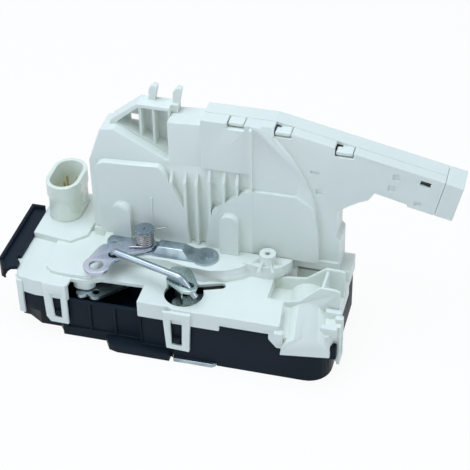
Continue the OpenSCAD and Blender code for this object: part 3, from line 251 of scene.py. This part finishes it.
def roundedCopy(nodeName, look):
    source = nodes[nodeName]
    piece = bpy.data.objects.new(look["name"], source.data.copy())
    bpy.context.scene.collection.objects.link(piece)
    soleSelection(piece)
    bpy.ops.object.mode_set(mode="EDIT")
    bpy.ops.mesh.select_all(action="SELECT")
    bpy.ops.mesh.remove_doubles(threshold=bevelRules["mergeGap"] * mm)
    bpy.ops.mesh.dissolve_limited(angle_limit=math.radians(bevelRules["flatAngle"]))
    bpy.ops.mesh.select_all(action="DESELECT")
    bpy.ops.mesh.select_mode(type="EDGE")
    bpy.ops.object.mode_set(mode="OBJECT")
    for index in roomyEdges(piece.data, look["round"] * mm, look["fromAngle"]):
        piece.data.edges[index].select = True
    bpy.ops.object.mode_set(mode="EDIT")
    bpy.ops.mesh.bevel(offset=look["round"] * mm, segments=look["steps"], affect="EDGES",
                       clamp_overlap=False)
    bpy.ops.object.mode_set(mode="OBJECT")
    bpy.ops.object.shade_smooth_by_angle(angle=math.radians(look.get("smooth", bevelRules["smooth"])))
    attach(piece, look["body"])
    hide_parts(nodeName)


copies = {
    "deck_cover": {"name": "whiteDeck", "round": 0.45, "steps": 2, "fromAngle": 30,
                   "body": "base", "slot": "white_plastic"},
    "wing_front": {"name": "wingFrontShell", "round": 0.45, "steps": 2, "fromAngle": 20,
                   "body": "base", "slot": "white_plastic"},
    "wing_back": {"name": "wingBackShell", "round": 0.45, "steps": 2, "fromAngle": 30,
                  "body": "base", "slot": "white_plastic"},
    "arm_sleeve": {"name": "armEndSleeve", "round": 0.5, "steps": 2, "fromAngle": 30,
                   "body": "base", "slot": "white_plastic"},
    "cable_guide": {"name": "cableGuideHooks", "round": 0.25, "steps": 2, "fromAngle": 30,
                    "body": "base", "slot": "white_plastic"},
    "housing": {"name": "blackHousing", "round": 0.4, "steps": 2, "fromAngle": 30,
                "body": "base", "slot": "black_plastic"},
    "edge_channel": {"name": "blackEdgeChannel", "round": 0.35, "steps": 2, "fromAngle": 30,
                     "body": "base", "slot": "black_plastic"},
    "connector_shroud": {"name": "plugSocket", "round": 0.4, "steps": 2, "fromAngle": 30,
                         "body": "base", "slot": "natural_plastic"},
    "outer_lever": {"name": "outerLeverPlate", "round": 0.3, "steps": 3, "fromAngle": 40,
                    "body": "outer_lever", "slot": "zinc_steel"},
    "release_lever": {"name": "releaseLeverEar", "round": 0.3, "steps": 3, "fromAngle": 40,
                      "body": "release_lever", "slot": "zinc_steel"},
    "bridge_bracket": {"name": "bridgeBracketSheet", "round": 0.5, "steps": 3, "fromAngle": 15,
                       "body": "base", "slot": "zinc_steel"},
    "coupling_lever": {"name": "couplingLeverPlate", "round": 0.25, "steps": 2, "fromAngle": 40,
                       "body": "coupling_lever", "slot": "zinc_steel"},
    "lever_pin": {"name": "leverPinHead", "round": 0.35, "steps": 3, "fromAngle": 30,
                  "body": "base", "slot": "bright_steel"},
    "lever_spring": {"name": "leverSpringCoil", "round": 0.1, "steps": 2, "fromAngle": 70,
                     "body": "base", "slot": "spring_wire", "smooth": 50},
    "face_plate": {"name": "facePlateSheet", "round": 0.3, "steps": 2, "fromAngle": 30,
                   "body": "base", "slot": "zinc_steel"},
}
for nodeName, look in copies.items():
    roundedCopy(nodeName, look)
print("rounded copies are made")


def roundedPath(corners, bends, steps):
    path = [corners[0]]
    for before, corner, after, bend in zip(corners, corners[1:], corners[2:], bends):
        incoming, outgoing = (corner - before).normalized(), (after - corner).normalized()
        turn = incoming.angle(outgoing)
        start = corner - incoming * bend * math.tan(turn / 2)
        centre = start + (outgoing - incoming * incoming.dot(outgoing)).normalized() * bend
        spin = incoming.cross(outgoing).normalized()
        path += [centre + Quaternion(spin, turn * k / steps) @ (start - centre) for k in range(steps + 1)]
    return path + [corners[-1]]


rod = {"name": "bentLinkRod", "radius": 2.0, "roundness": 14, "smooth": 32, "mergeGap": 0.005,
       "corners": [(-4.5, -16.5, 45.4), (-4.5, -16.5, 51), (38.41, -29.57, 51), (47.01, -31.97, 40.5)],
       "bends": (2.05, 5.5), "bendSteps": 12, "body": "link_rod", "slot": "bright_steel"}


def bentRod(look):
    path = roundedPath([Vector(corner) * mm for corner in look["corners"]],
                       [bend * mm for bend in look["bends"]], look["bendSteps"])
    bpy.ops.curve.primitive_bezier_curve_add()
    piece = bpy.context.object
    piece.name = look["name"]
    piece.data.splines.clear()
    line = piece.data.splines.new("POLY")
    line.points.add(len(path) - 1)
    for point, spot in zip(line.points, path):
        point.co = (*spot, 1)
    piece.data.dimensions = "3D"
    piece.data.bevel_depth = look["radius"] * mm
    piece.data.bevel_resolution = look["roundness"]
    piece.data.use_fill_caps = True
    soleSelection(piece)
    bpy.ops.object.convert(target="MESH")
    piece = bpy.context.object
    bpy.ops.object.mode_set(mode="EDIT")
    bpy.ops.mesh.select_all(action="SELECT")
    bpy.ops.mesh.remove_doubles(threshold=look["mergeGap"] * mm)
    bpy.ops.mesh.normals_make_consistent(inside=False)
    bpy.ops.object.mode_set(mode="OBJECT")
    bpy.ops.object.shade_smooth_by_angle(angle=math.radians(look["smooth"]))
    piece.data.materials.append(bright)
    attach(piece, look["body"])
    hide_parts("link_rod")


bentRod(rod)
print("the link rod is bent")

shot = {"target": (0.060, 0.005, 0.058), "azimuth": 15.4, "height": 38.0, "roll": -1.1, "distance": 0.805,
        "lens": 111.06, "sensor": 36.0, "clip": (0.01, 20.0)}


def aimCamera(shot):
    a, e = math.radians(shot["azimuth"]), math.radians(shot["height"])
    back = Vector((math.sin(a) * math.cos(e), -math.cos(a) * math.cos(e), math.sin(e)))
    bpy.ops.object.camera_add(location=Vector(shot["target"]) + back * shot["distance"])
    camera = bpy.context.object
    camera.rotation_mode = "QUATERNION"
    camera.rotation_quaternion = ((-back).to_track_quat("-Z", "Y").to_matrix()
                                  @ Matrix.Rotation(math.radians(shot["roll"]), 3, "Z")).to_quaternion()
    camera.data.lens = shot["lens"]
    camera.data.sensor_width = shot["sensor"]
    camera.data.clip_start, camera.data.clip_end = shot["clip"]
    bpy.context.scene.camera = camera


def seeingRays(tree):
    path = tree.nodes.new("ShaderNodeLightPath")
    seen = path.outputs["Is Camera Ray"]
    for ray in ("Is Transmission Ray", "Is Glossy Ray"):
        either = tree.nodes.new("ShaderNodeMath")
        either.operation = "MAXIMUM"
        tree.links.new(seen, either.inputs[0])
        tree.links.new(path.outputs[ray], either.inputs[1])
        seen = either.outputs[0]
    return seen


groundLook = {"tone": (0.9, 0.9, 0.9, 1), "roughness": 0.9, "size": 6, "drop": 0.5, "whiteShare": 0.93}


def paleGround(look):
    finish, tree, shader = startFinish("paleGround")[:3]
    shader.inputs["Base Color"].default_value = look["tone"]
    shader.inputs["Roughness"].default_value = look["roughness"]
    glow = tree.nodes.new("ShaderNodeEmission")
    glow.inputs["Color"].default_value = (1, 1, 1, 1)
    share = tree.nodes.new("ShaderNodeMath")
    share.operation = "MULTIPLY"
    share.inputs[1].default_value = look["whiteShare"]
    blend = tree.nodes.new("ShaderNodeMixShader")
    tree.links.new(seeingRays(tree), share.inputs[0])
    tree.links.new(share.outputs[0], blend.inputs["Fac"])
    tree.links.new(shader.outputs["BSDF"], blend.inputs[1])
    tree.links.new(glow.outputs["Emission"], blend.inputs[2])
    tree.links.new(blend.outputs[0], tree.nodes["Material Output"].inputs["Surface"])
    return finish


def softLamp(name, lamp):
    bpy.ops.object.light_add(type="AREA", location=lamp["at"])
    light = bpy.context.object
    light.name = name
    light.data.shape = "RECTANGLE"
    light.data.size, light.data.size_y = lamp["size"]
    light.data.energy = lamp["power"]
    light.data.color = lamp["colour"]
    light.rotation_euler = (lampTarget - Vector(lamp["at"])).to_track_quat("-Z", "Y").to_euler()


bpy.ops.mesh.primitive_plane_add(size=groundLook["size"], location=(0, 0, -groundLook["drop"] * mm))
ground = bpy.context.object
ground.name = "paleGround"
ground.data.materials.append(paleGround(groundLook))

lampTarget = Vector((0.05, 0, 0.05))
lamps = {
    "overheadLamp": {"at": (-0.15, -0.1, 1.1), "size": (0.9, 0.9),
                     "power": 10.4, "colour": (0.76, 0.87, 1.0)},
    "frontLamp": {"at": (-0.7, -0.9, 0.55), "size": (0.7, 0.7),
                  "power": 2.5, "colour": (0.74, 0.86, 1.0)},
    "rightLamp": {"at": (0.95, -0.35, 0.5), "size": (0.5, 0.6),
                  "power": 2.2, "colour": (0.74, 0.86, 1.0)},
}
for name, lamp in lamps.items():
    softLamp(name, lamp)

skyLook = {"tint": (0.74, 0.86, 1.0, 1), "strength": 0.28}


def paleStudio(look):
    world = bpy.data.worlds.new("studio")
    bpy.context.scene.world = world
    world.use_nodes = True
    tree = world.node_tree
    sky = tree.nodes["Background"]
    sky.inputs["Color"].default_value = look["tint"]
    sky.inputs["Strength"].default_value = look["strength"]
    whiteSky = tree.nodes.new("ShaderNodeBackground")
    whiteSky.inputs["Color"].default_value = (1, 1, 1, 1)
    whiteSky.inputs["Strength"].default_value = 1.0
    blend = tree.nodes.new("ShaderNodeMixShader")
    tree.links.new(seeingRays(tree), blend.inputs["Fac"])
    tree.links.new(sky.outputs["Background"], blend.inputs[1])
    tree.links.new(whiteSky.outputs["Background"], blend.inputs[2])
    tree.links.new(blend.outputs[0], tree.nodes["World Output"].inputs["Surface"])


paleStudio(skyLook)
aimCamera(shot)
bpy.context.scene.view_settings.view_transform = "Standard"
print("camera and light are set")
